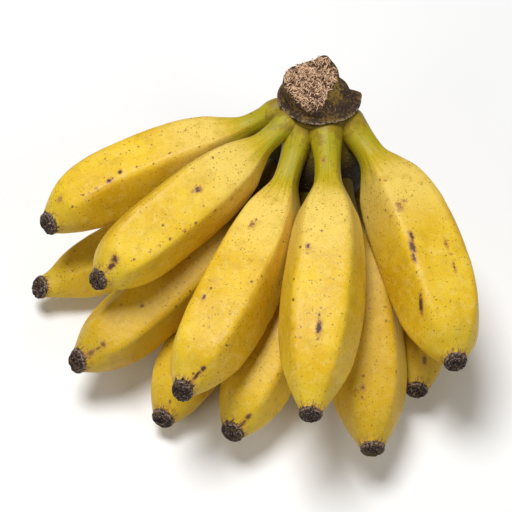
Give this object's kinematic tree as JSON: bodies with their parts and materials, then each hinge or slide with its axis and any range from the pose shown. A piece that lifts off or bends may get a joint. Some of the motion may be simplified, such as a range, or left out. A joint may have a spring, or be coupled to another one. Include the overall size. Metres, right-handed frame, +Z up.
{
  "type": "hand of bananas",
  "caption": "Hand of small ripe bananas joined on one cut crown, lying on its lower row with the cut end up.",
  "frame": {"origin": "middle of the underside of the overall box, on the surface that the hand lies on", "axes": "+X along the longest extent, across the fan of fingers; -Y from the crown towards the finger tips; +Z up"},
  "size_m": [0.1785, 0.1509, 0.0801],
  "materials": {
    "peel": "ripe yellow banana peel, satin, green towards the stalk, with fine brown specks",
    "crown_skin": "dried brown crown skin with a tan fibrous cut face"
  },
  "bodies": {
    "root": {"crown": "crown_skin", "finger_upper_1": "peel", "finger_upper_2": "peel", "finger_upper_3": "peel", "finger_upper_4": "peel", "finger_upper_5": "peel", "finger_lower_1": "peel", "finger_lower_2": "peel", "finger_lower_3": "peel", "finger_lower_4": "peel", "finger_lower_5": "peel", "finger_lower_6": "peel"}
  },
  "joints": []
}
